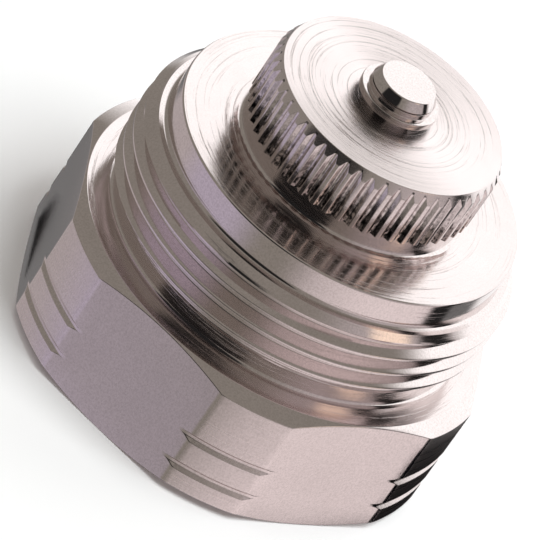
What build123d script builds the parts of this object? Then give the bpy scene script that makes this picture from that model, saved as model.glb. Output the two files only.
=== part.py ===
from build123d import *
import math
import os

# Radiator valve adapter: a turned body whose hexagon screws onto the valve, with a male thread for
# the control head above it and a knurled boss that guides the push pin between the two.
# Sizes are in millimetres. +Z runs along the axis towards the pin, and z = 0 is the hexagon's underside.

# Threads, drawn as plain walls: the male one at its crest, the female one at its minor diameter
THREAD_PITCH = 1.5
MALE_THREAD_RADIUS = 15.0
MALE_THREAD_LENGTH = 5.0
FEMALE_THREAD_RADIUS = 14.0
FEMALE_THREAD_LENGTH = 7.0
INTERNAL_THREAD_HEIGHT_RATIO = 0.5413

# Hexagon
HEX_WALL = 2.0
HEX_HEIGHT = 10.35
HEX_CORNER_TRIM = 1.375
HEX_CHAMFER_INSET = 0.1
HEX_CHAMFER_ANGLE = 30.0

# Two turned marks round the hexagon's corners
MARK_WIDTH = 0.75
MARK_FLOOR = 0.25
MARK_DEPTH = 0.25
MARK_HEIGHT = 2.5
MARK_SPACING = 2.6

# Run-out between the hexagon and the male thread, lead-in chamfer and pilot above it
RELIEF_DEPTH = 1.15
RELIEF_WIDTH = 1.35
RELIEF_FILLET = 0.4
LEAD_CHAMFER = 0.95
PILOT_STEP = 1.6
PILOT_HEIGHT = 2.35
PILOT_FILLET = 0.35
PILOT_EDGE_BREAK = 0.15

# Knurled boss
KNURL_RADIUS = 9.1
KNURL_TEETH = 54
KNURL_DEPTH = 0.27
KNURL_CREST = 0.32
KNURL_FLANK_ANGLE = 45.0
KNURL_ROOT_STEP = 0.14
KNURL_BEVEL = 0.42
KNURL_BEVEL_HEIGHT = 0.8
BOSS_HEIGHT = 6.15
NECK_HEIGHT = 1.5
NECK_FILLET = 0.4

# Bores in the body, from the bottom up
MOUTH_CHAMFER = 0.9
UNDERCUT_WIDTH = 1.6
UNDERCUT_DEPTH = 0.2
UNDERCUT_ROOF = 0.85
SPINDLE_BORE_RADIUS = 9.5
ROOF_THICKNESS = 2.5
GUIDE_LENGTH = 3.5
GUIDE_CLEARANCE = 0.05
CLIP_BORE_CLEARANCE = 1.4

# Push pin, as it stands at rest
PIN_RADIUS = 2.0
PIN_DROP = 0.55
PIN_LIFT = 3.5
PIN_TAIL = 1.4
PIN_END_CHAMFER = 0.3
FLANGE_STEP = 1.05
FLANGE_THICKNESS = 0.53
HUB_STEP = 0.5
HUB_HEIGHT = 0.43
TIP_GROOVE_DEPTH = 0.25
TIP_GROOVE_WIDTH = 0.12
TIP_HEIGHT = 0.68
TIP_TAPER = 0.38

# Clip that keeps the pin captive
CLIP_STEP = 1.6
CLIP_THICKNESS = 0.6
CLIP_SEAT_DEPTH = 0.5
CLIP_CLEARANCE = 0.02
CLIP_OPENING = 70.0

# Cutting tools run past the faces they open by this much
OVERCUT = 1.0

# Heights along the axis
male_thread_base = HEX_HEIGHT + RELIEF_WIDTH + RELIEF_DEPTH
ledge_height = male_thread_base + MALE_THREAD_LENGTH
shoulder_height = ledge_height + PILOT_HEIGHT
boss_top = shoulder_height + BOSS_HEIGHT
knurl_base = shoulder_height + NECK_HEIGHT
guide_base = boss_top - GUIDE_LENGTH
spindle_bore_top = shoulder_height - ROOF_THICKNESS

# Radii shared by mating features
hex_flat_radius = FEMALE_THREAD_RADIUS + HEX_WALL
hex_chamfer_radius = hex_flat_radius - HEX_CHAMFER_INSET
pilot_radius = MALE_THREAD_RADIUS - PILOT_STEP
relief_radius = MALE_THREAD_RADIUS - RELIEF_DEPTH
knurl_root_radius = KNURL_RADIUS - KNURL_DEPTH
neck_radius = knurl_root_radius - KNURL_ROOT_STEP
clip_radius = PIN_RADIUS + CLIP_STEP
clip_seat_radius = PIN_RADIUS - CLIP_SEAT_DEPTH


def turned(points, rounds=()):
    """Solid of revolution about Z from an outline of (radius, height) points.

    Each item of rounds is (corner, radius): the outline's corner nearest to it is rounded.
    """
    outline = make_face(Polyline(*points, close=True))
    for corner, radius in rounds:
        vertex = outline.vertices().sort_by_distance((*corner, 0))[0]
        outline = fillet(vertex, radius)
    return revolve(Plane.XZ * outline, Axis.Z)


def hexagon():
    """Hexagonal bar with turned corners, chamfered ends and the two marks cut round its corners."""
    corner_radius = hex_flat_radius / math.cos(math.pi / 6) - HEX_CORNER_TRIM
    chamfer_drop = (corner_radius - hex_chamfer_radius) * math.tan(math.radians(HEX_CHAMFER_ANGLE))
    blank = turned([
        (0, 0),
        (hex_chamfer_radius, 0),
        (corner_radius, chamfer_drop),
        (corner_radius, HEX_HEIGHT - chamfer_drop),
        (hex_chamfer_radius, HEX_HEIGHT),
        (0, HEX_HEIGHT),
    ])
    mark = turned([
        (corner_radius - MARK_DEPTH, -MARK_FLOOR / 2),
        (corner_radius, -MARK_WIDTH / 2),
        (corner_radius + OVERCUT, -MARK_WIDTH / 2),
        (corner_radius + OVERCUT, MARK_WIDTH / 2),
        (corner_radius, MARK_WIDTH / 2),
        (corner_radius - MARK_DEPTH, MARK_FLOOR / 2),
    ])
    bar = extrude(RegularPolygon(hex_flat_radius, 6, major_radius=False, rotation=30), HEX_HEIGHT)
    marks = [Pos(0, 0, MARK_HEIGHT + row * MARK_SPACING) * mark for row in range(2)]
    return (bar & blank) - marks


def stem():
    """Everything turned above the hexagon: run-out, male thread wall, pilot and boss."""
    points = [
        (0, 0),
        (relief_radius, 0),
        (relief_radius, HEX_HEIGHT + RELIEF_WIDTH),
        (MALE_THREAD_RADIUS, male_thread_base),
        (MALE_THREAD_RADIUS, ledge_height - LEAD_CHAMFER),
        (MALE_THREAD_RADIUS - LEAD_CHAMFER, ledge_height),
        (pilot_radius, ledge_height),
        (pilot_radius, shoulder_height - PILOT_EDGE_BREAK),
        (pilot_radius - PILOT_EDGE_BREAK, shoulder_height),
        (neck_radius, shoulder_height),
        (neck_radius, knurl_base),
        (KNURL_RADIUS, knurl_base),
        (KNURL_RADIUS, boss_top - KNURL_BEVEL_HEIGHT),
        (KNURL_RADIUS - KNURL_BEVEL, boss_top),
        (0, boss_top),
    ]
    rounds = [
        ((pilot_radius, ledge_height), PILOT_FILLET),
        ((neck_radius, shoulder_height), NECK_FILLET),
    ]
    return turned(points, rounds)


def knurl_grooves():
    """V-shaped cutters for the straight knurl, one for each tooth space."""
    half_width = math.pi * KNURL_RADIUS / KNURL_TEETH - KNURL_CREST / 2
    flare = KNURL_DEPTH / math.tan(math.radians(KNURL_FLANK_ANGLE))
    far = KNURL_RADIUS + KNURL_DEPTH
    section = make_face(Polyline(
        (knurl_root_radius, half_width - flare),
        (knurl_root_radius, flare - half_width),
        (far, -flare - half_width),
        (far, half_width + flare),
        close=True,
    ))
    start = knurl_base - NECK_HEIGHT / 2
    cutter = Pos(0, 0, start) * extrude(section, boss_top + OVERCUT - start)
    return [spot * cutter for spot in PolarLocations(0, KNURL_TEETH)]


def bores():
    """The hollow inside the body: mouth, female thread wall, undercut, spindle bore and pin guide."""
    minor_radius = FEMALE_THREAD_RADIUS - INTERNAL_THREAD_HEIGHT_RATIO * THREAD_PITCH
    mouth_radius = minor_radius + MOUTH_CHAMFER
    undercut_radius = FEMALE_THREAD_RADIUS + UNDERCUT_DEPTH
    undercut_top = HEX_HEIGHT - UNDERCUT_ROOF
    thread_top = undercut_top - UNDERCUT_WIDTH
    thread_base = thread_top - FEMALE_THREAD_LENGTH
    mouth_base = thread_base - MOUTH_CHAMFER
    start = min(mouth_base, 0) - OVERCUT
    clip_bore_radius = clip_radius + CLIP_BORE_CLEARANCE
    guide_radius = PIN_RADIUS + GUIDE_CLEARANCE
    return turned([
        (0, start),
        (mouth_radius, start),
        (mouth_radius, mouth_base),
        (minor_radius, thread_base),
        (minor_radius, thread_top),
        (undercut_radius, thread_top),
        (undercut_radius, undercut_top),
        (SPINDLE_BORE_RADIUS, undercut_top),
        (SPINDLE_BORE_RADIUS, spindle_bore_top),
        (clip_bore_radius, spindle_bore_top),
        (clip_bore_radius, guide_base),
        (guide_radius, guide_base),
        (guide_radius, boss_top + OVERCUT),
        (0, boss_top + OVERCUT),
    ])


def adapter_body():
    """The whole turned body: the run-out's root is rounded, then the knurl and the bores are cut."""
    solid = hexagon() + stem()
    rings = solid.edges().filter_by(GeomType.CIRCLE)
    rings = rings.filter_by_position(Axis.Z, HEX_HEIGHT - RELIEF_FILLET / 2, HEX_HEIGHT + RELIEF_FILLET / 2)
    land = hex_chamfer_radius - relief_radius
    solid = fillet(rings.sort_by(SortBy.RADIUS)[0], min(RELIEF_FILLET, land / 2))
    return solid - knurl_grooves() - bores()


def push_pin():
    """Turned pin: tapered tip, tip groove, hub and flange above the boss, shank and clip seat below."""
    hub_radius = PIN_RADIUS + HUB_STEP
    flange_base = boss_top + PIN_DROP
    hub_base = flange_base + FLANGE_THICKNESS
    groove_base = hub_base + HUB_HEIGHT
    tip_base = groove_base + TIP_GROOVE_WIDTH
    tip_top = tip_base + TIP_HEIGHT
    clip_top = guide_base - PIN_LIFT
    seat_top = clip_top + CLIP_CLEARANCE
    seat_base = clip_top - CLIP_THICKNESS - CLIP_CLEARANCE
    pin_end = seat_base - PIN_TAIL
    return turned([
        (0, pin_end),
        (PIN_RADIUS - PIN_END_CHAMFER, pin_end),
        (PIN_RADIUS, pin_end + PIN_END_CHAMFER),
        (PIN_RADIUS, seat_base),
        (clip_seat_radius, seat_base),
        (clip_seat_radius, seat_top),
        (PIN_RADIUS, seat_top),
        (PIN_RADIUS, flange_base),
        (PIN_RADIUS + FLANGE_STEP, flange_base),
        (PIN_RADIUS + FLANGE_STEP, hub_base),
        (hub_radius, hub_base),
        (hub_radius, groove_base),
        (hub_radius - TIP_GROOVE_DEPTH, groove_base),
        (hub_radius - TIP_GROOVE_DEPTH, tip_base),
        (hub_radius, tip_base),
        (hub_radius - TIP_TAPER, tip_top),
        (0, tip_top),
    ])


def retaining_clip():
    """Open ring that snaps into the pin's seat and stops it at the roof of the boss."""
    bore_radius = clip_seat_radius + CLIP_CLEARANCE
    clip_base = guide_base - PIN_LIFT - CLIP_THICKNESS
    reach = clip_radius + OVERCUT
    half_opening = math.radians(CLIP_OPENING / 2)
    ring = Circle(clip_radius) - Circle(bore_radius)
    wedge = make_face(Polyline(
        (0, 0),
        (reach * math.cos(half_opening), -reach * math.sin(half_opening)),
        (reach * math.cos(half_opening), reach * math.sin(half_opening)),
        close=True,
    ))
    return Pos(0, 0, clip_base) * extrude(ring - wedge, CLIP_THICKNESS)


os.makedirs("parts", exist_ok=True)
for make_node in (adapter_body, push_pin, retaining_clip):
    node = make_node()
    node.label = make_node.__name__
    export_step(node, f"parts/{make_node.__name__}.step")
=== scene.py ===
"""Radiator valve adapter in plated brass: its dressed pieces, finishes, studio and camera.

The file is laid out as an add-on and run as a script. Each operator builds one piece round the CAD frame.
"""

import math

import bmesh
import bpy
import numpy as np
from mathutils import Matrix, Vector


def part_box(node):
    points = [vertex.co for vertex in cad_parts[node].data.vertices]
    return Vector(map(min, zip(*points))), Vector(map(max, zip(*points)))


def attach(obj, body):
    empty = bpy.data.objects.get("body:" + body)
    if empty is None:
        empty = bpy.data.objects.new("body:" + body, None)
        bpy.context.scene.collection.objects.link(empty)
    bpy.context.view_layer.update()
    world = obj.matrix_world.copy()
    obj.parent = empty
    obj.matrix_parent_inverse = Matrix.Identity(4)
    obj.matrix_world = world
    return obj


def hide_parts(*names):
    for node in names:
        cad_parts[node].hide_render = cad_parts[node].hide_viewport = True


bl_info = {
    "name": "Radiator Valve Adapter",
    "version": (1, 0, 0),
    "blender": (4, 5, 0),
    "location": "View3D > Sidebar > Adapter",
    "description": "Builds a plated radiator valve adapter with its threads, knurl, push pin and studio",
    "category": "Add Mesh",
}

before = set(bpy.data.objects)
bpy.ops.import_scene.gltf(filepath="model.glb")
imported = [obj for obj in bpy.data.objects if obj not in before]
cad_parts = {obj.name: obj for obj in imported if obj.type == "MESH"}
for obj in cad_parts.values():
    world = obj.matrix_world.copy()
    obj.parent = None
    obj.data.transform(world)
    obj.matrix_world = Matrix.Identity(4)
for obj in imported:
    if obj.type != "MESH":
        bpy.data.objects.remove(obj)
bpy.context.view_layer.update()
BODY_LOW, BODY_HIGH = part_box("adapter_body")
PIN_LOW, PIN_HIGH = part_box("push_pin")

MM = 0.001
TURN = 2.0 * math.pi
WELD = 1.0e-7
CORNER_STEPS = 5
RING_COLUMNS = 360
PIN_COLUMNS = 192
STRIP_COLUMNS = 40
FLAT_COLUMNS = 16
SEAM_ANGLE = math.radians(75.5)
SHARP_ANGLE = math.radians(28.0)


def length(name, description, millimetres):
    """A length property, given in millimetres and kept in metres."""
    return bpy.props.FloatProperty(
        name=name, description=description, default=millimetres * MM, unit="LENGTH", precision=5
    )


def angle(name, description, degrees):
    """An angle property, given in degrees and kept in radians."""
    return bpy.props.FloatProperty(
        name=name, description=description, default=math.radians(degrees), unit="ROTATION"
    )


def amount(name, description, value):
    """A plain number."""
    return bpy.props.FloatProperty(name=name, description=description, default=value)


def colour(name, description, value):
    """A linear colour."""
    return bpy.props.FloatVectorProperty(
        name=name, description=description, default=value, subtype="COLOR", size=3, min=0.0
    )


class HexagonSizes(bpy.types.PropertyGroup):
    """Sizes of the spanner hexagon."""

    across_flats: length("Across flats", "Distance between two flats", (BODY_HIGH.x - BODY_LOW.x) / MM)
    corner_radius: length("Corner radius", "Radius of the turned corner strips", BODY_HIGH.y / MM)
    height: length("Height", "Height of the hexagon", 10.35)
    chamfer_ring: length("Chamfer ring", "Radius where the end faces meet the chamfers", 15.9)
    chamfer_angle: angle("Chamfer angle", "Fall of the chamfers from the end faces", 30.0)
    mark_height: length("Mark height", "Height of the lower corner mark", 2.5)
    mark_spacing: length("Mark spacing", "Distance between the two corner marks", 2.6)
    mark_floor: length("Mark floor", "Width of a corner mark's floor", 0.25)
    mark_depth: length("Mark depth", "Depth of a corner mark", 0.25)
    edge: length("Edge", "How far the worn edges are rounded", 0.06)


class ThreadSizes(bpy.types.PropertyGroup):
    """Sizes of the male and the female thread."""

    pitch: length("Pitch", "Rise of both threads in one turn", 1.5)
    male_radius: length("Male radius", "Radius at the male thread's crests", 15.0)
    male_depth: length("Male depth", "Depth of the male thread", 0.90)
    female_crest: length("Female crest", "Radius at the female thread's crests", 13.188)
    female_radius: length("Female radius", "Radius at the female thread's roots", 14.0)
    female_length: length("Female length", "Height of the female thread's upper end", 7.9)
    mouth_radius: length("Mouth radius", "Radius of the mouth chamfer at the end face", 14.09)
    mouth_height: length("Mouth height", "Height of the mouth chamfer", 0.9)
    first_crest: length("First crest", "Height of a male crest at the seam angle", 16.75)
    crest_edge: length("Crest edge", "How far the crests' edges are rounded", 0.05)


class StemSizes(bpy.types.PropertyGroup):
    """Sizes of the turned stem between the hexagon and the boss."""

    relief_radius: length("Relief radius", "Radius of the run-out groove", 13.85)
    relief_top: length("Relief top", "Height where the run-out groove starts to widen", 11.70)
    thread_low: length("Thread low", "Height where the thread has its full radius", 12.85)
    thread_high: length("Thread high", "Height where the lead chamfer starts", 16.90)
    ledge: length("Ledge", "Height of the ledge above the thread", 17.85)
    ledge_radius: length("Ledge radius", "Outer radius of the ledge", 14.05)
    pilot_radius: length("Pilot radius", "Radius of the plain pilot", 13.4)
    top: length("Top", "Height of the stem's top face", 20.20)
    root_fillet: length("Root fillet", "Reach of the fillet between hexagon and run-out groove", 0.4)
    pilot_fillet: length("Pilot fillet", "Reach of the fillet at the pilot's foot", 0.35)
    pilot_edge: length("Pilot edge", "How far the pilot's edge is broken", 0.16)
    bore_radius: length("Bore radius", "Radius of the spindle bore", 9.5)
    bore_top: length("Bore top", "Height of the spindle bore's roof", 17.70)
    clip_bore: length("Clip bore", "Radius of the bore that the clip moves in", 5.0)
    undercut_radius: length("Undercut radius", "Radius of the groove above the female thread", 14.2)
    undercut_top: length("Undercut top", "Height of that groove's roof", 9.5)
    bore_edge: length("Bore edge", "How far the corners of the bores are rounded", 0.1)


class BossSizes(bpy.types.PropertyGroup):
    """Sizes of the knurled boss."""

    teeth: bpy.props.IntProperty(name="Teeth", description="Ridges of the straight knurl", default=54, min=12)
    ridge_radius: length("Ridge radius", "Radius at the knurl's ridges", 9.1)
    root_radius: length("Root radius", "Radius at the knurl's roots", 8.83)
    ridge_width: length("Ridge width", "Width of a ridge", 0.32)
    neck_radius: length("Neck radius", "Radius of the smooth neck", 8.69)
    neck_top: length("Neck top", "Height where the knurl starts", 21.70)
    neck_fillet: length("Neck fillet", "Reach of the fillet at the neck's foot", 0.4)
    bevel_radius: length("Bevel radius", "Radius of the cap face", 8.68)
    bevel_low: length("Bevel low", "Height where the ridges meet the bevel", 25.55)
    top: length("Top", "Height of the cap face", BODY_HIGH.z / MM)
    clip_bore_top: length("Clip bore top", "Height of the clip bore's roof", 22.85)
    guide_radius: length("Guide radius", "Radius of the pin's guide bore", 2.05)
    guide_edge: length("Guide edge", "How far the guide bore's mouth is rounded", 0.12)
    edge: length("Edge", "How far the worn edges are rounded", 0.05)


class PinSizes(bpy.types.PropertyGroup):
    """Sizes of the push pin."""

    shank_radius: length("Shank radius", "Radius of the shank", 2.0)
    low: length("Low", "Height of the lower end", PIN_LOW.z / MM)
    high: length("High", "Height of the tip", PIN_HIGH.z / MM)
    end_chamfer: length("End chamfer", "Chamfer of the lower end", 0.3)
    seat_low: length("Seat low", "Lower side of the clip's groove", 18.73)
    seat_high: length("Seat high", "Upper side of the clip's groove", 19.37)
    seat_radius: length("Seat radius", "Radius in the clip's groove", 1.5)
    flange_radius: length("Flange radius", "Radius of the flange", 3.05)
    flange_low: length("Flange low", "Height of the flange's underside", 26.90)
    flange_high: length("Flange high", "Height of the flange's top", 27.43)
    hub_radius: length("Hub radius", "Radius of the hub and of the tip's foot", 2.5)
    hub_high: length("Hub high", "Height of the hub's top", 27.86)
    groove_radius: length("Groove radius", "Radius of the fine groove", 2.25)
    tip_low: length("Tip low", "Height of the tip's foot", 27.98)
    tip_radius: length("Tip radius", "Radius at the tip's end", 2.12)
    edge: length("Edge", "How far the edges are rounded", 0.07)


class PlateFinish(bpy.types.PropertyGroup):
    """Colours and marks of the plating."""

    nickel: colour("Nickel", "Colour of the plate", (0.74, 0.67, 0.66))
    # The worn colour is real wear on the flats' grain and painted shade in the turned faces' lathe grooves
    nickel_worn_and_groove_shade: colour("Nickel, worn", "Colour of the plate in its thin places", (0.56, 0.51, 0.495))
    steel: colour("Pin steel", "Colour of the push pin", (0.74, 0.68, 0.67))
    clip_steel: colour("Clip steel", "Colour of the retaining clip", (0.42, 0.42, 0.44))
    # Near-black colour of the painted shade in the knurl's grooves, in the notches at its bevel and under the
    # pin's flange
    painted_shade: colour("Painted_shade", "Colour of the soil in the knurl and under the flange", (0.030, 0.028, 0.027))
    turned_roughness: amount("Turned roughness", "Roughness of turned faces", 0.07)
    satin_roughness: amount("Satin roughness", "Roughness of the flats", 0.28)
    lathe_roughness: amount("Lathe roughness", "Roughness that plain lathe marks add", 0.12)
    lathe_depth: length("Lathe depth", "Height of the lathe lines", 0.008)
    groove_depth: length("Groove depth", "Depth of the sparse lathe grooves", 0.014)
    grain_depth: length("Grain depth", "Height of the flats' grain", 0.012)
    smear: amount("Smear", "How far reflections spread across the lathe marks", 0.75)


class StudioSettings(bpy.types.PropertyGroup):
    """Floor, light and camera."""

    floor: colour("Floor", "Colour of the floor", (0.98, 0.98, 0.98))
    camera_azimuth: angle("Camera azimuth", "Turn of the camera round the part", -14.69)
    camera_elevation: angle("Camera elevation", "Height of the camera over the horizon", 34.62)
    camera_roll: angle("Camera roll", "Lean of the camera to its left", 34.53)
    camera_distance: length("Camera distance", "Distance from the camera to its target", 500.0)
    camera_target: bpy.props.FloatVectorProperty(
        name="Camera target",
        description="Point in the middle of the picture",
        default=(-1.90 * MM, -4.99 * MM, 12.52 * MM),
        subtype="XYZ",
        unit="LENGTH",
        precision=5,
    )
    lens: amount("Lens", "Focal length in millimetres", 473.5)


def rounded_outline(corners, columns=1, steps=CORNER_STEPS):
    """Rows of an open outline with rounded corners, as radii and heights of rows by columns.

    A corner is (radius, height, reach), where radius and height are one number or one for each column. It
    becomes the curve (1 - t)^2 start + 2 t (1 - t) corner + t^2 end for t from 0 to 1, with start and end at
    its reach along the runs before and after it.
    """
    spread = np.zeros(columns)
    places = np.array([[radius + spread, height + spread] for radius, height, _ in corners])
    reach = np.array([corner[2] for corner in corners])[:, None, None]
    before = np.roll(places, 1, axis=0) - places
    after = np.roll(places, -1, axis=0) - places

    def part_way(run):
        """The point at the corner's reach along a run, and no further than the run's end."""
        distance = np.maximum(np.linalg.norm(run, axis=1, keepdims=True), WELD)
        return run * np.minimum(reach / distance, 1.0)

    start = (places + part_way(before))[:, None]
    end = (places + part_way(after))[:, None]
    t = np.linspace(0.0, 1.0, steps)[None, :, None, None]
    curve = (1.0 - t) ** 2 * start + 2.0 * t * (1.0 - t) * places[:, None] + t**2 * end
    rows = curve.reshape(-1, 2, columns)
    return rows[:, 0], rows[:, 1]


def face_after(corner):
    """Number of the row of faces between a corner of a rounded outline and the next corner."""
    return (corner + 1) * CORNER_STEPS - 1


def thread_turn(pitch, crest, root, crest_flat, root_flat, edge, divisions=16):
    """One turn of a thread: radius against height, from the middle of a crest to the middle of the next.

    The outline is a crest flat, a straight flank, a root flat and a flank back, with its corners rounded.
    """
    corners = [
        (crest, 0.0, 0.0),
        (crest, crest_flat / 2.0, edge),
        (root, (pitch - root_flat) / 2.0, edge),
        (root, (pitch + root_flat) / 2.0, edge),
        (crest, pitch - crest_flat / 2.0, edge),
        (crest, pitch, 0.0),
    ]
    radius, height = rounded_outline(corners)
    places = np.unique(np.concatenate([height[:, 0], np.linspace(0.0, pitch, divisions + 1)]).round(9))
    return places, np.interp(places, height[:, 0], radius[:, 0])


def helical_rows(turn, pitch, first_crest, lowest, highest, angles):
    """Rows that follow a thread upwards, as radii and heights of rows by columns.

    height = first crest + pitch (turn number + angle / full turn) + place within the turn, held between
    lowest and highest, and radius is the turn's radius at the height's place within its turn.
    """
    places, radii = turn
    share = (angles - angles[0]) / TURN
    first = math.floor((lowest - first_crest) / pitch) - 1
    last = math.ceil((highest - first_crest) / pitch) + 1
    starts = first_crest + pitch * np.arange(first, last + 1)
    rows = (starts[:, None] + places[None, :-1]).ravel()
    height = np.clip(rows[:, None] + pitch * share[None, :], lowest, highest)
    phase = np.mod((height - first_crest) / pitch - share, 1.0)
    return np.interp(phase, places / pitch, radii), height


def ring_columns(count):
    """Evenly spaced angles for a full turn from the seam, with the seam at both ends."""
    return SEAM_ANGLE + np.linspace(0.0, TURN, count + 1)


def ring_piece(name, angles, radius, height, finish, closed=True):
    """A welded mesh piece from rows of radii and heights.

    x = radius cos(angle), y = radius sin(angle) and z = height. Rows run up the inside, outwards over the top
    and down the outside, so that faces point outwards. UV is (distance along the outline, share of the turn),
    and the three attributes say how plainly a face shows the marks of turning, how bright it is and how much
    painted shade darkens its colour.
    """
    if radius.shape != height.shape or radius.shape[1] != len(angles):
        raise ValueError(f"{name}: rows of {radius.shape} and {height.shape} for {len(angles)} columns")
    rows, columns = radius.shape
    points = np.stack([radius * np.cos(angles), radius * np.sin(angles), height], axis=-1).reshape(-1, 3)
    upper = np.arange(rows if closed else rows - 1)[:, None]
    lower = (upper + 1) % rows
    left = np.arange(columns - 1)[None, :]
    above = upper * columns + left
    below = lower * columns + left
    quads = np.stack([above, below, below + 1, above + 1], axis=-1).reshape(-1, 4)

    ends = np.concatenate([np.arange(rows), [0]])
    steps = np.hypot(np.diff(radius[ends], axis=0), np.diff(height[ends], axis=0))
    along = np.concatenate([np.zeros((1, columns)), np.cumsum(steps, axis=0)]) / MM
    share = (angles - angles[0]) / TURN
    flat_along = np.stack(
        [along[upper, left], along[upper + 1, left], along[upper + 1, left + 1], along[upper, left + 1]]
    )
    flat_share = np.stack([share[left], share[left], share[left + 1], share[left + 1]])
    flat_share = np.broadcast_to(flat_share, flat_along.shape)
    corner_uv = np.stack([flat_along, flat_share], axis=-1).transpose(1, 2, 0, 3).reshape(-1, 2)

    mesh = bpy.data.meshes.new(name)
    mesh.from_pydata(points.tolist(), [], quads.tolist())
    mesh.uv_layers.new(name="UVMap").data.foreach_set("uv", corner_uv.astype(np.float32).ravel())
    weights = np.broadcast_to(finish, (rows, columns - 1, 3))
    for index, label in enumerate(("lathe", "gloss", "painted_shade")):
        spread = weights[: len(upper), :, index].astype(np.float32).ravel()
        mesh.attributes.new(label, "FLOAT", "FACE").data.foreach_set("value", spread)

    welded = bmesh.new()
    welded.from_mesh(mesh)
    bmesh.ops.remove_doubles(welded, verts=welded.verts, dist=WELD)
    welded.to_mesh(mesh)
    welded.free()
    mesh.shade_smooth()
    mesh.set_sharp_from_angle(angle=SHARP_ANGLE)

    piece = bpy.data.objects.new(name, mesh)
    bpy.context.scene.collection.objects.link(piece)
    return piece


def row_finish(rows, spans, columns=1):
    """Lathe, gloss and painted-shade weights by rows and columns.

    They are 1, 1 and 0, apart from the lathe and gloss of the spans (first row, last row, lathe, gloss).
    """
    weights = np.ones((rows, columns, 3))
    weights[:, :, 2] = 0.0
    for first, last, lathe, gloss in spans:
        weights[first:last, :, :2] = lathe, gloss
    return weights


def add_node(tree, kind, inputs=None, **settings):
    """A node with its settings, and each input, by number, name or identifier, linked to a socket or set."""
    made = tree.nodes.new(kind)
    for setting, value in settings.items():
        setattr(made, setting, value)
    for key, value in (inputs or {}).items():
        matches = [socket for socket in made.inputs if socket.identifier == key]
        socket = matches[0] if matches else made.inputs[key]
        if isinstance(value, bpy.types.NodeSocket):
            tree.links.new(value, socket)
        else:
            socket.default_value = value
    return made


def arithmetic(tree, operation, *values, clamp=False):
    """Output of a Math node over sockets or constants."""
    inputs = dict(enumerate(values))
    return add_node(tree, "ShaderNodeMath", inputs, operation=operation, use_clamp=clamp).outputs[0]


def stretch(tree, vector, x, y, z):
    """A vector with each of its axes multiplied by a number."""
    made = add_node(tree, "ShaderNodeVectorMath", {0: vector, 1: (x, y, z)}, operation="MULTIPLY")
    return made.outputs[0]


def share_between(tree, value, low, high):
    """0 where value is at low and 1 where it is at high, held at both ends."""
    made = add_node(tree, "ShaderNodeMapRange", {"Value": value, "From Min": low, "From Max": high})
    return made.outputs["Result"]


def blend_numbers(tree, factor, low, high):
    """low where factor is 0 and high where it is 1."""
    made = add_node(tree, "ShaderNodeMapRange", {"Value": factor, "To Min": low, "To Max": high})
    return made.outputs["Result"]


def blend_colours(tree, factor, low, high):
    """The colour low where factor is 0 and high where it is 1, each a socket or a colour of four channels."""
    inputs = {"Factor_Float": factor, "A_Color": low, "B_Color": high}
    made = add_node(tree, "ShaderNodeMix", inputs, data_type="RGBA")
    return [socket for socket in made.outputs if socket.identifier == "Result_Color"][0]


def noise(tree, vector, detail, roughness):
    """Noise of scale 1 over a vector, about 0 to 1."""
    made = add_node(
        tree,
        "ShaderNodeTexNoise",
        {"Vector": vector, "Scale": 1.0, "Detail": detail, "Roughness": roughness},
    )
    return made.outputs["Fac"]


def new_material(name):
    """An empty node material with its surface shader and that shader's tree."""
    material = bpy.data.materials.new(name)
    material.use_nodes = True
    tree = material.node_tree
    tree.nodes.clear()
    shader = tree.nodes.new("ShaderNodeBsdfPrincipled")
    output = tree.nodes.new("ShaderNodeOutputMaterial")
    tree.links.new(shader.outputs["BSDF"], output.inputs["Surface"])
    return material, tree, shader


def turned_coordinates(tree):
    """Object coordinates in millimetres, split up: position vector, x, y and a line coordinate.

    The line coordinate is 0.73 radius + 1.37 height, which changes along every turned face and is the same
    all round.
    """
    metres = add_node(tree, "ShaderNodeTexCoord").outputs["Object"]
    position = stretch(tree, metres, 1.0 / MM, 1.0 / MM, 1.0 / MM)
    x, y, z = add_node(tree, "ShaderNodeSeparateXYZ", {0: position}).outputs
    squares = arithmetic(tree, "ADD", arithmetic(tree, "MULTIPLY", x, x), arithmetic(tree, "MULTIPLY", y, y))
    outwards = arithmetic(tree, "MULTIPLY", arithmetic(tree, "SQRT", squares), 0.73)
    upwards = arithmetic(tree, "MULTIPLY", z, 1.37)
    return position, x, y, arithmetic(tree, "ADD", outwards, upwards)


def line_vector(tree, line, x, y, across, around):
    """Vector whose noise makes lines round the axis.

    It moves by across for each millimetre of the line coordinate, and by around for each one of x and y.
    """
    return add_node(
        tree,
        "ShaderNodeCombineXYZ",
        {
            "X": arithmetic(tree, "MULTIPLY", line, across),
            "Y": arithmetic(tree, "MULTIPLY", x, around),
            "Z": arithmetic(tree, "MULTIPLY", y, around),
        },
    ).outputs[0]


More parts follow.
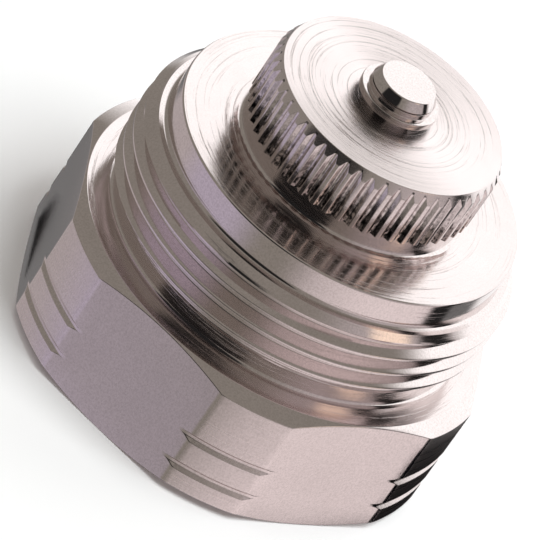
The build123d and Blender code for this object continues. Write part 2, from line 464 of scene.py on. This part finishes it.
def plated_metal(name, fresh, worn, finish):
    """Plated metal: lathe lines on turned faces, satin grain on the rest, clouds of tone, painted shade in
    the lathe grooves, and near-black painted shade where the third attribute asks for it.
    """
    material, tree, shader = new_material(name)
    position, x, y, line = turned_coordinates(tree)
    lathe = add_node(tree, "ShaderNodeAttribute", attribute_name="lathe").outputs["Fac"]
    gloss = add_node(tree, "ShaderNodeAttribute", attribute_name="gloss").outputs["Fac"]
    painted_shade = add_node(tree, "ShaderNodeAttribute", attribute_name="painted_shade").outputs["Fac"]

    broad = noise(tree, line_vector(tree, line, x, y, 4.0, 0.04), 2.0, 0.5)
    fine = noise(tree, line_vector(tree, line, x, y, 6.5, 0.08), 4.0, 0.7)
    groove = share_between(tree, fine, 0.30, 0.43)
    ripple = arithmetic(tree, "MULTIPLY", arithmetic(tree, "ADD", broad, fine), finish.lathe_depth)
    lines = arithmetic(tree, "ADD", ripple, arithmetic(tree, "MULTIPLY", groove, finish.groove_depth))
    grain = noise(tree, stretch(tree, position, 7.0, 7.0, 6.0), 3.0, 0.7)
    satin = arithmetic(tree, "MULTIPLY", grain, arithmetic(tree, "SUBTRACT", 1.0, gloss))
    satin = arithmetic(tree, "MULTIPLY", satin, finish.grain_depth)
    height = arithmetic(tree, "ADD", arithmetic(tree, "MULTIPLY", lines, lathe), satin)
    bump = add_node(tree, "ShaderNodeBump", {"Height": height, "Distance": 1.0, "Strength": 1.0})
    tree.links.new(bump.outputs["Normal"], shader.inputs["Normal"])

    clouds = noise(tree, stretch(tree, position, 0.22, 0.22, 0.22), 3.0, 0.6)
    # On turned faces the worn colour lies in the low lathe lines as painted shade in the grooves; on the
    # flats it follows the grain at random
    marks = blend_numbers(tree, lathe, share_between(tree, grain, 0.25, 0.6), groove)
    tone = arithmetic(tree, "MULTIPLY", marks, blend_numbers(tree, clouds, 0.6, 1.25), clamp=True)
    plate = blend_colours(tree, tone, (*worn, 1.0), (*fresh, 1.0))
    # Painted shade: the near-black colour laid over the faces that the third attribute marks, in spots where
    # it is up to 1 and all over where it is 2
    spots = share_between(tree, noise(tree, stretch(tree, position, 3.6, 3.6, 2.2), 3.0, 0.65), 0.56, 0.42)
    spotted = arithmetic(tree, "MULTIPLY", spots, painted_shade)
    all_over = arithmetic(tree, "SUBTRACT", painted_shade, 1.0)
    cover = arithmetic(tree, "MAXIMUM", spotted, all_over, clamp=True)
    plate = blend_colours(tree, cover, plate, (*finish.painted_shade, 1.0))
    tree.links.new(plate, shader.inputs["Base Color"])

    rough = blend_numbers(tree, gloss, finish.satin_roughness, finish.turned_roughness)
    rough = arithmetic(tree, "ADD", rough, arithmetic(tree, "MULTIPLY", lathe, finish.lathe_roughness))
    rough = arithmetic(tree, "MULTIPLY", rough, blend_numbers(tree, broad, 0.8, 1.25))
    tree.links.new(rough, shader.inputs["Roughness"])
    shader.inputs["Metallic"].default_value = 1.0
    tree.links.new(arithmetic(tree, "MULTIPLY", lathe, finish.smear), shader.inputs["Anisotropic"])
    tangent = add_node(tree, "ShaderNodeTangent", direction_type="UV_MAP", uv_map="UVMap")
    tree.links.new(tangent.outputs["Tangent"], shader.inputs["Tangent"])
    return material


def spring_metal(name, tint):
    """Drawn spring steel: a fine streaky grain and a faint change of tone."""
    material, tree, shader = new_material(name)
    _, x, y, line = turned_coordinates(tree)
    streaks = noise(tree, line_vector(tree, line, x, y, 6.0, 1.2), 3.0, 0.6)
    darker = tuple(channel * 0.8 for channel in tint)
    tree.links.new(blend_colours(tree, streaks, (*darker, 1.0), (*tint, 1.0)), shader.inputs["Base Color"])
    tree.links.new(blend_numbers(tree, streaks, 0.25, 0.4), shader.inputs["Roughness"])
    shader.inputs["Metallic"].default_value = 1.0
    return material


def plate_material(context):
    """The plate of the three body pieces, made once."""
    finish = context.scene.adapter_finish
    made = bpy.data.materials.get("nickel_plate_finish")
    return made or plated_metal("nickel_plate_finish", finish.nickel, finish.nickel_worn_and_groove_shade, finish)


def settle(piece, body, node, material):
    """Gives a piece its finish, and has it ride its body in place of a CAD node."""
    piece.data.materials.append(material)
    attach(piece, body)
    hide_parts(node)


class BuildHexagon(bpy.types.Operator):
    """Builds the spanner hexagon with its chamfers, corner marks, female thread and undercut"""

    bl_idname = "adapter.build_hexagon"
    bl_label = "Build Hexagon"

    def execute(self, context):
        sizes = context.scene.adapter_hexagon
        thread = context.scene.adapter_thread
        stem = context.scene.adapter_stem
        apothem = sizes.across_flats / 2.0
        strip = math.acos(apothem / sizes.corner_radius)
        sixth = TURN / 6.0
        on_corner = np.linspace(-strip, strip, STRIP_COLUMNS + 1)[:-1]
        on_flat = np.linspace(strip, sixth - strip, FLAT_COLUMNS + 1)[:-1]
        sector = np.concatenate([on_corner, on_flat])
        angles = (sector[None, :] + sixth * np.arange(6)[:, None]).ravel()
        angles = np.append(angles, angles[0] + TURN)
        from_flat = np.mod(angles + sixth / 2.0, sixth) - sixth / 2.0
        side = np.minimum(apothem / np.cos(from_flat), sizes.corner_radius)
        ring = np.minimum(side, sizes.chamfer_ring)
        fall = (side - ring) * math.tan(sizes.chamfer_angle)
        floor = sizes.corner_radius - sizes.mark_depth
        rise = np.maximum(side - floor, 0.0)
        half = sizes.mark_floor / 2.0
        edge = sizes.edge
        top = sizes.height

        corners = [
            (stem.undercut_radius, thread.female_length, 0.0),
            (stem.undercut_radius, stem.undercut_top, edge),
            (stem.bore_radius, stem.undercut_top, edge),
            (stem.bore_radius, top, 0.0),
            (ring, top, edge),
            (side, top - fall, edge),
        ]
        first_side = len(corners) - 1
        for middle in (sizes.mark_height + sizes.mark_spacing, sizes.mark_height):
            corners += [
                (side, middle + half + rise, edge),
                (side - rise, middle + half, edge),
                (side - rise, middle - half, edge),
                (side, middle - half - rise, edge),
            ]
        last_side = len(corners)
        corners += [(side, fall, edge), (ring, 0.0, edge), (thread.mouth_radius, 0.0, 0.0)]
        radius, height = rounded_outline(corners, len(angles))

        turn = thread_turn(
            thread.pitch,
            thread.female_crest,
            thread.female_radius,
            thread.pitch / 4.0,
            thread.pitch / 8.0,
            thread.crest_edge,
            divisions=12,
        )
        bore, rise_of_bore = helical_rows(turn, thread.pitch, thread.pitch, 0.0, thread.female_length, angles)
        mouth = np.interp(
            rise_of_bore, [0.0, thread.mouth_height], [thread.mouth_radius, thread.female_crest]
        )
        bore = np.maximum(bore, mouth)
        middle_row = CORNER_STEPS // 2
        rows = len(radius) + len(bore)
        upper_row = first_side * CORNER_STEPS + middle_row
        lower_row = last_side * CORNER_STEPS + middle_row
        top_face = face_after(3)
        spans = [
            (0, upper_row, 0.15, 1.0),
            (upper_row, lower_row, 0.0, 0.0),
            (lower_row, rows, 0.15, 1.0),
            (top_face, top_face + 1, 0.6, 1.0),
        ]
        finish = row_finish(rows, spans, len(angles) - 1)
        on_strip = np.tile(np.arange(len(sector)) < STRIP_COLUMNS, 6)
        finish[upper_row:lower_row, on_strip, 1] = 0.75
        piece = ring_piece(
            "hexagon", angles, np.concatenate([radius, bore]), np.concatenate([height, rise_of_bore]), finish
        )
        settle(piece, "housing", "adapter_body", plate_material(context))
        return {"FINISHED"}


class BuildStem(bpy.types.Operator):
    """Builds the turned stem: run-out groove, male thread, ledge, pilot, top face and bores"""

    bl_idname = "adapter.build_stem"
    bl_label = "Build Stem"

    def execute(self, context):
        sizes = context.scene.adapter_stem
        thread = context.scene.adapter_thread
        foot = context.scene.adapter_hexagon.height
        angles = ring_columns(RING_COLUMNS)
        corners = [
            (sizes.relief_radius, sizes.relief_top, 0.0),
            (sizes.relief_radius, foot, sizes.root_fillet),
            (sizes.relief_radius + sizes.root_fillet, foot, 0.0),
            (sizes.bore_radius, foot, 0.0),
            (sizes.bore_radius, sizes.bore_top, sizes.bore_edge),
            (sizes.clip_bore, sizes.bore_top, sizes.bore_edge),
            (sizes.clip_bore, sizes.top, 0.0),
            (sizes.pilot_radius, sizes.top, sizes.pilot_edge),
            (sizes.pilot_radius, sizes.ledge, sizes.pilot_fillet),
            (sizes.ledge_radius, sizes.ledge, 0.0),
        ]
        radius, height = rounded_outline(corners, len(angles))
        turn = thread_turn(
            thread.pitch,
            thread.male_radius,
            thread.male_radius - thread.male_depth,
            thread.pitch / 8.0,
            thread.pitch / 5.0,
            thread.crest_edge,
        )
        ridge, ridge_height = helical_rows(
            turn, thread.pitch, thread.first_crest, sizes.relief_top, sizes.ledge, angles
        )
        blank = np.interp(
            ridge_height,
            [sizes.relief_top, sizes.thread_low, sizes.thread_high, sizes.ledge],
            [sizes.relief_radius, thread.male_radius, thread.male_radius, sizes.ledge_radius],
        )
        ridge = np.minimum(ridge, blank)
        radius = np.concatenate([radius, ridge[::-1]])
        height = np.concatenate([height, ridge_height[::-1]])
        top_face = face_after(6)
        first_turn = len(corners) * CORNER_STEPS
        spans = [
            (0, first_turn, 0.15, 1.0),
            (top_face, top_face + 1, 0.65, 1.0),
            (0, CORNER_STEPS, 0.3, 1.0),
            (first_turn, len(radius), 0.2, 1.0),
        ]
        piece = ring_piece("threaded_stem", angles, radius, height, row_finish(len(radius), spans))
        settle(piece, "housing", "adapter_body", plate_material(context))
        return {"FINISHED"}


# Painted shade in the knurl's grooves, in bands that darken from its top to its foot, and in the notches at
# its bevel, on the faces that lie deeper than this share of the groove
PAINTED_SHADE_BANDS = (0.1, 0.3, 0.55, 0.85, 1.0)
PAINTED_SHADE_DEPTH = 0.35
NOTCH_PAINTED_SHADE = 0.9
NOTCH_DEPTH = 0.6


class BuildBoss(bpy.types.Operator):
    """Builds the knurled boss with its neck, bevel, cap face and guide bore"""

    bl_idname = "adapter.build_boss"
    bl_label = "Build Boss"

    def execute(self, context):
        sizes = context.scene.adapter_boss
        stem = context.scene.adapter_stem
        tooth = TURN * sizes.ridge_radius / sizes.teeth
        half = sizes.ridge_width / 2.0
        run = half + sizes.ridge_radius - sizes.root_radius
        ridge = [
            (sizes.ridge_radius, 0.0, 0.0),
            (sizes.ridge_radius, half, sizes.edge),
            (sizes.root_radius, run, sizes.edge),
            (sizes.root_radius, tooth - run, sizes.edge),
            (sizes.ridge_radius, tooth - half, sizes.edge),
            (sizes.ridge_radius, tooth, 0.0),
        ]
        radii, places = rounded_outline(ridge)
        places, order = np.unique(places[:, 0].round(9), return_index=True)
        radii = radii[order, 0]
        share = (np.arange(sizes.teeth)[:, None] + places[None, :-1] / tooth).ravel() / sizes.teeth
        angles = TURN * (np.append(share, 1.0) + 0.5 / sizes.teeth)
        knurl = np.append(np.tile(radii[:-1], sizes.teeth), radii[-1])
        slope = (sizes.top - sizes.bevel_low) / (sizes.ridge_radius - sizes.bevel_radius)
        knurl_top = sizes.top - (knurl - sizes.bevel_radius) * slope

        bevel_middle = (knurl + sizes.bevel_radius) / 2.0
        corners = [
            (stem.clip_bore, stem.top, 0.0),
            (stem.clip_bore, sizes.clip_bore_top, stem.bore_edge),
            (sizes.guide_radius, sizes.clip_bore_top, stem.bore_edge),
            (sizes.guide_radius, sizes.top, sizes.guide_edge),
            (sizes.bevel_radius, sizes.top, sizes.edge),
            (bevel_middle, sizes.top - (bevel_middle - sizes.bevel_radius) * slope, 0.0),
            (knurl, knurl_top, sizes.edge),
        ]
        first_band = len(corners) - 1
        bands = len(PAINTED_SHADE_BANDS)
        for band in range(1, bands):
            corners.append((knurl, knurl_top + (sizes.neck_top - knurl_top) * band / bands, 0.0))
        corners += [
            (knurl, sizes.neck_top, sizes.edge / 2.0),
            (sizes.neck_radius, sizes.neck_top, 0.0),
            (sizes.neck_radius, stem.top, sizes.neck_fillet),
            (sizes.neck_radius + sizes.neck_fillet, stem.top, 0.0),
        ]
        radius, height = rounded_outline(corners, len(angles))
        middle_row = CORNER_STEPS // 2
        upper_row = first_band * CORNER_STEPS + middle_row
        lower_row = upper_row + bands * CORNER_STEPS
        spans = [
            (0, upper_row, 1.25, 1.0),
            (upper_row, lower_row, 0.0, 0.68),
            (lower_row, len(radius), 0.1, 1.0),
        ]
        finish = row_finish(len(radius), spans, len(angles) - 1)
        face_radius = (knurl[:-1] + knurl[1:]) / 2.0
        depth = (sizes.ridge_radius - face_radius) / (sizes.ridge_radius - sizes.root_radius)
        # Painted shade in the knurl's grooves, darker towards its foot
        for band, painted_shade in enumerate(PAINTED_SHADE_BANDS):
            row = upper_row + band * CORNER_STEPS
            finish[row : row + CORNER_STEPS, depth > PAINTED_SHADE_DEPTH, 2] = painted_shade
        # Painted shade in the notches where the grooves meet the bevel
        finish[(first_band - 1) * CORNER_STEPS : upper_row, depth > NOTCH_DEPTH, 2] = NOTCH_PAINTED_SHADE
        piece = ring_piece("knurled_boss", angles, radius, height, finish)
        settle(piece, "housing", "adapter_body", plate_material(context))
        return {"FINISHED"}


class BuildPin(bpy.types.Operator):
    """Builds the push pin with its flange, hub, fine groove, tip and clip groove"""

    bl_idname = "adapter.build_pin"
    bl_label = "Build Push Pin"

    def execute(self, context):
        sizes = context.scene.adapter_pin
        finish = context.scene.adapter_finish
        edge = sizes.edge
        fine = edge / 2.0
        corners = [
            (sizes.shank_radius, sizes.low + sizes.end_chamfer, edge),
            (sizes.shank_radius, sizes.seat_low, fine),
            (sizes.seat_radius, sizes.seat_low, fine),
            (sizes.seat_radius, sizes.seat_high, fine),
            (sizes.shank_radius, sizes.seat_high, fine),
            (sizes.shank_radius, sizes.flange_low, edge),
            (sizes.flange_radius, sizes.flange_low, edge),
            (sizes.flange_radius, sizes.flange_high, edge),
            (sizes.hub_radius, sizes.flange_high, fine),
            (sizes.hub_radius, sizes.hub_high, fine),
            (sizes.groove_radius, sizes.hub_high, fine),
            (sizes.groove_radius, sizes.tip_low, fine),
            (sizes.hub_radius, sizes.tip_low, fine),
            (sizes.tip_radius, sizes.high, edge),
        ]
        ends = [(0.0, sizes.low, 0.0), (sizes.shank_radius - sizes.end_chamfer, sizes.low, edge)]
        corners = [*ends, *corners, (0.0, sizes.high, 0.0)]
        angles = ring_columns(PIN_COLUMNS)
        radius, height = rounded_outline(corners, len(angles))
        finish_rows = row_finish(len(radius), [(0, len(radius), 0.1, 1.0)])
        # Painted shadow under the pin's flange: its underside is painted near-black all over
        underside = len(radius) - 2 - face_after(7)
        finish_rows[underside, :, 2] = 2.0
        piece = ring_piece("push_pin_turned", angles, radius[::-1], height[::-1], finish_rows, closed=False)
        steel = plated_metal("pin_steel_finish", finish.steel, finish.nickel_worn_and_groove_shade, finish)
        settle(piece, "pin", "push_pin", steel)
        return {"FINISHED"}


class FinishClip(bpy.types.Operator):
    """Gives the retaining clip its spring steel"""

    bl_idname = "adapter.finish_clip"
    bl_label = "Finish Retaining Clip"

    def execute(self, context):
        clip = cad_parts["retaining_clip"]
        clip.data.materials.clear()
        clip.data.materials.append(spring_metal("clip_steel_finish", context.scene.adapter_finish.clip_steel))
        return {"FINISHED"}


def studio_floor(tint, reach=3.0):
    """A flat pale floor, one square of four corners, with a faint mottle."""
    mesh = bpy.data.meshes.new("floor")
    square = [(-reach, -reach, 0.0), (reach, -reach, 0.0), (reach, reach, 0.0), (-reach, reach, 0.0)]
    mesh.from_pydata(square, [], [(0, 1, 2, 3)])
    floor = bpy.data.objects.new("floor", mesh)
    bpy.context.scene.collection.objects.link(floor)
    floor.visible_glossy = False
    material, tree, shader = new_material("floor_paper")
    position = add_node(tree, "ShaderNodeTexCoord").outputs["Object"]
    mottle = noise(tree, stretch(tree, position, 40.0, 40.0, 40.0), 2.0, 0.5)
    shade = tuple(channel * 0.985 for channel in tint)
    tree.links.new(blend_colours(tree, mottle, (*shade, 1.0), (*tint, 1.0)), shader.inputs["Base Color"])
    shader.inputs["Roughness"].default_value = 0.9
    shader.inputs["Specular IOR Level"].default_value = 0.1
    mesh.materials.append(material)


def camera_frame(studio):
    """Right, up and back of the camera: the orbit's axes, turned about the line of sight by the roll."""
    turn, lift, roll = studio.camera_azimuth, studio.camera_elevation, studio.camera_roll
    back = Vector((math.sin(turn) * math.cos(lift), -math.cos(turn) * math.cos(lift), math.sin(lift)))
    level = Vector((math.cos(turn), math.sin(turn), 0.0))
    rise = back.cross(level)
    right = math.cos(roll) * level + math.sin(roll) * rise
    up = math.cos(roll) * rise - math.sin(roll) * level
    return right, up, back


def studio_camera(studio):
    """The camera, set by its frame and its distance from the target."""
    right, up, back = camera_frame(studio)
    data = bpy.data.cameras.new("camera")
    data.lens = studio.lens
    data.sensor_width = 36.0
    data.clip_start = 0.01
    data.clip_end = 20.0
    camera = bpy.data.objects.new("camera", data)
    place = Vector(studio.camera_target) + back * studio.camera_distance
    turned = Matrix((right, up, back)).transposed().to_4x4()
    camera.matrix_world = Matrix.Translation(place) @ turned
    bpy.context.scene.collection.objects.link(camera)
    bpy.context.scene.camera = camera


def orbit_direction(studio, azimuth, elevation):
    """Direction from the part: azimuth 0 is the camera's level right and 90 is straight away from it."""
    turn = studio.camera_azimuth + math.radians(azimuth)
    lift = math.radians(elevation)
    return Vector((math.cos(turn) * math.cos(lift), math.sin(turn) * math.cos(lift), math.sin(lift)))


def studio_lamp(studio, name, azimuth, elevation, distance, size, level, tint):
    """A square soft lamp that faces the part. Its level is the share of white that it gives the floor."""
    direction = orbit_direction(studio, azimuth, elevation)
    solid_angle = size * size / (distance * distance)
    radiance = level * math.pi / (solid_angle * direction.z)
    data = bpy.data.lights.new(name, "AREA")
    data.shape = "SQUARE"
    data.size = size
    data.energy = radiance * math.pi * size * size
    data.color = tint
    lamp = bpy.data.objects.new(name, data)
    lamp.location = direction * distance
    lamp.rotation_mode = "QUATERNION"
    lamp.rotation_quaternion = direction.to_track_quat("Z", "Y")
    lamp.visible_glossy = False
    bpy.context.scene.collection.objects.link(lamp)


# Light plan of the studio room. A strip is (azimuth of its middle from the camera's level right, half width
# and soft edge in degrees, tone), and later strips lie over earlier ones. The table lies below the horizon,
# the wall above it and the ceiling over that.
GREY = (0.55, 0.5, 0.5)
DIM_GREY = (0.3, 0.28, 0.25)
SHADE = (0.2, 0.2, 0.2)
BLACK = (0.02, 0.02, 0.02)
WHITE = (1.2, 1.2, 1.2)
SOFTBOX = (1.5, 1.5, 1.5)
WARM_WHITE = (1.0, 0.9, 0.9)
VIOLET = (0.55, 0.5, 0.6)
TABLE_STRIPS = (
    (-140.0, 20.0, 30.0, VIOLET),
    (-10.0, 10.0, 80.0, WARM_WHITE),
    (-100.0, 5.0, 30.0, DIM_GREY),
    (30.0, 10.0, 20.0, SHADE),
    (65.0, 10.0, 15.0, WHITE),
    (105.0, 15.0, 15.0, SHADE),
    (15.0, 5.0, 5.0, BLACK),
)
WALL_STRIPS = (
    (-10.0, 20.0, 40.0, GREY),
    (70.0, 35.0, 15.0, SOFTBOX),
    (15.0, 5.0, 5.0, BLACK),
)
# Sines of the elevations between which the table gives way to the wall, and the wall to the ceiling
TABLE_TO_WALL = (-0.34, -0.09)
WALL_TO_CEILING = (0.70, 0.84)
# Discs of the room: azimuth, elevation, and half angles of the full and of the fading part
DARK_DISC = (-109.0, 21.0, 27.0, 33.0)
CREAM_DISC = (-9.0, 37.0, 5.0, 12.0)
CREAM = (0.8, 0.6, 0.4)
CEILING_DISC = (92.0, 64.0, 14.0, 24.0)
# Lamps: name, azimuth and elevation in degrees, distance and size in metres, level and tint
LAMPS = (
    ("key_lamp", -20.0, 66.0, 0.5, 0.32, 0.72, (0.94, 0.98, 1.0)),
    ("fill_lamp", -130.0, 60.0, 0.5, 0.34, 0.12, (1.0, 0.98, 0.99)),
)
# Black cards on the floor that only show in reflections, as painted shadow of the part on the floor beside
# it:
# corners in millimetres along the camera's level right and away from it
SHADOW_CARDS = (
    ((15.7, -6.7), (28.5, -6.9), (28.5, 5.0), (24.0, 14.0), (19.5, 15.0), (17.3, 2.0)),
    ((-15.3, -6.0), (-17.3, 1.3), (-19.6, 5.0)),
)


def studio_shadow_card(studio, corners):
    """A flat black card just over the floor, hidden from everything but reflections: a painted shadow of the
    part on the floor.
    """
    level = orbit_direction(studio, 0.0, 0.0)
    away = orbit_direction(studio, 90.0, 0.0)
    rise = Vector((0.0, 0.0, 0.02 * MM))
    mesh = bpy.data.meshes.new("shadow_card")
    points = [level * right * MM + away * back * MM + rise for right, back in corners]
    mesh.from_pydata(points, [], [tuple(range(len(points)))])
    shadow_card = bpy.data.objects.new("shadow_card", mesh)
    bpy.context.scene.collection.objects.link(shadow_card)
    material, tree, shader = new_material("painted_shadow_black")
    shader.inputs["Base Color"].default_value = (0.004, 0.004, 0.005, 1.0)
    shader.inputs["Roughness"].default_value = 1.0
    shader.inputs["Specular IOR Level"].default_value = 0.0
    mesh.materials.append(material)
    shadow_card.visible_camera = False
    shadow_card.visible_diffuse = False
    shadow_card.visible_shadow = False
    shadow_card.visible_transmission = False


def studio_world(studio):
    """A studio room: strips of light and shade on the table and the wall, a plain ceiling and three discs."""
    world = bpy.data.worlds.new("studio_room")
    bpy.context.scene.world = world
    world.use_nodes = True
    tree = world.node_tree
    tree.nodes.clear()
    direction = add_node(tree, "ShaderNodeTexCoord").outputs["Generated"]
    x, y, z = add_node(tree, "ShaderNodeSeparateXYZ", {0: direction}).outputs
    turn = arithmetic(tree, "SUBTRACT", arithmetic(tree, "ARCTAN2", y, x), studio.camera_azimuth)

    def step(value, low, high):
        """0 at low and 1 at high, with a smooth change between them."""
        made = add_node(
            tree,
            "ShaderNodeMapRange",
            {"Value": value, "From Min": low, "From Max": high},
            interpolation_type="SMOOTHSTEP",
        )
        return made.outputs["Result"]

    def strips_over(light, strips):
        """Strips of tone laid over a light, each full to its half width and fading out over its edge."""
        for azimuth, half_width, edge, tone in strips:
            gap = arithmetic(tree, "SUBTRACT", turn, math.radians(azimuth))
            gap = arithmetic(tree, "ABSOLUTE", arithmetic(tree, "WRAP", gap, math.pi, -math.pi))
            cover = step(gap, math.radians(half_width + edge), math.radians(half_width))
            light = blend_colours(tree, cover, light, (*tone, 1.0))
        return light

    def disc(azimuth, elevation, full, fading):
        """1 inside the full half angle round a direction, falling smoothly to 0 at the fading half angle."""
        axis = tuple(orbit_direction(studio, azimuth, elevation))
        cosine = add_node(tree, "ShaderNodeVectorMath", {0: direction, 1: axis}, operation="DOT_PRODUCT")
        return step(cosine.outputs["Value"], math.cos(math.radians(fading)), math.cos(math.radians(full)))

    table = strips_over((*GREY, 1.0), TABLE_STRIPS)
    wall = strips_over((*DIM_GREY, 1.0), WALL_STRIPS)
    light = blend_colours(tree, step(z, *TABLE_TO_WALL), table, wall)
    light = blend_colours(tree, step(z, *WALL_TO_CEILING), light, (*DIM_GREY, 1.0))
    light = blend_colours(tree, disc(*CEILING_DISC), light, (*DIM_GREY, 1.0))
    light = blend_colours(tree, disc(*DARK_DISC), light, (*BLACK, 1.0))
    cream = add_node(tree, "ShaderNodeVectorMath", {0: CREAM, "Scale": disc(*CREAM_DISC)}, operation="SCALE")
    lit = add_node(tree, "ShaderNodeVectorMath", {0: light, 1: cream.outputs[0]}, operation="ADD")
    sky = add_node(tree, "ShaderNodeBackground", {"Color": lit.outputs[0], "Strength": 1.0})
    output = tree.nodes.new("ShaderNodeOutputWorld")
    tree.links.new(sky.outputs["Background"], output.inputs["Surface"])


class BuildStudio(bpy.types.Operator):
    """Sets up the floor, the soft light and the camera"""

    bl_idname = "adapter.build_studio"
    bl_label = "Build Studio"

    def execute(self, context):
        studio = context.scene.adapter_studio
        context.scene.view_settings.view_transform = "Standard"
        studio_floor(studio.floor)
        studio_world(studio)
        for corners in SHADOW_CARDS:
            studio_shadow_card(studio, corners)
        for lamp in LAMPS:
            studio_lamp(studio, *lamp)
        studio_camera(studio)
        return {"FINISHED"}


class AdapterPanel(bpy.types.Panel):
    """Lists the builders and the sizes in the sidebar"""

    bl_idname = "VIEW3D_PT_adapter"
    bl_label = "Radiator Valve Adapter"
    bl_space_type = "VIEW_3D"
    bl_region_type = "UI"
    bl_category = "Adapter"

    def draw(self, context):
        for builder in BUILDERS:
            self.layout.operator(builder.bl_idname)
        for name, group in GROUPS.items():
            box = self.layout.box()
            box.label(text=group.__doc__)
            for size in group.__annotations__:
                box.prop(getattr(context.scene, name), size)


GROUPS = {
    "adapter_hexagon": HexagonSizes,
    "adapter_thread": ThreadSizes,
    "adapter_stem": StemSizes,
    "adapter_boss": BossSizes,
    "adapter_pin": PinSizes,
    "adapter_finish": PlateFinish,
    "adapter_studio": StudioSettings,
}
BUILDERS = (BuildHexagon, BuildStem, BuildBoss, BuildPin, FinishClip, BuildStudio)


def register():
    """Registers the classes and hangs the groups of settings on the scene."""
    for part in (*GROUPS.values(), *BUILDERS, AdapterPanel):
        bpy.utils.register_class(part)
    for name, group in GROUPS.items():
        setattr(bpy.types.Scene, name, bpy.props.PointerProperty(type=group))


def unregister():
    """Takes away what register() added, last first."""
    for name in GROUPS:
        delattr(bpy.types.Scene, name)
    for part in reversed((*GROUPS.values(), *BUILDERS, AdapterPanel)):
        bpy.utils.unregister_class(part)


def main():
    """Builds every piece and the studio."""
    register()
    bpy.ops.adapter.build_hexagon()
    bpy.ops.adapter.build_stem()
    bpy.ops.adapter.build_boss()
    bpy.ops.adapter.build_pin()
    bpy.ops.adapter.finish_clip()
    bpy.ops.adapter.build_studio()
    bpy.context.view_layer.update()


if __name__ == "__main__":
    main()
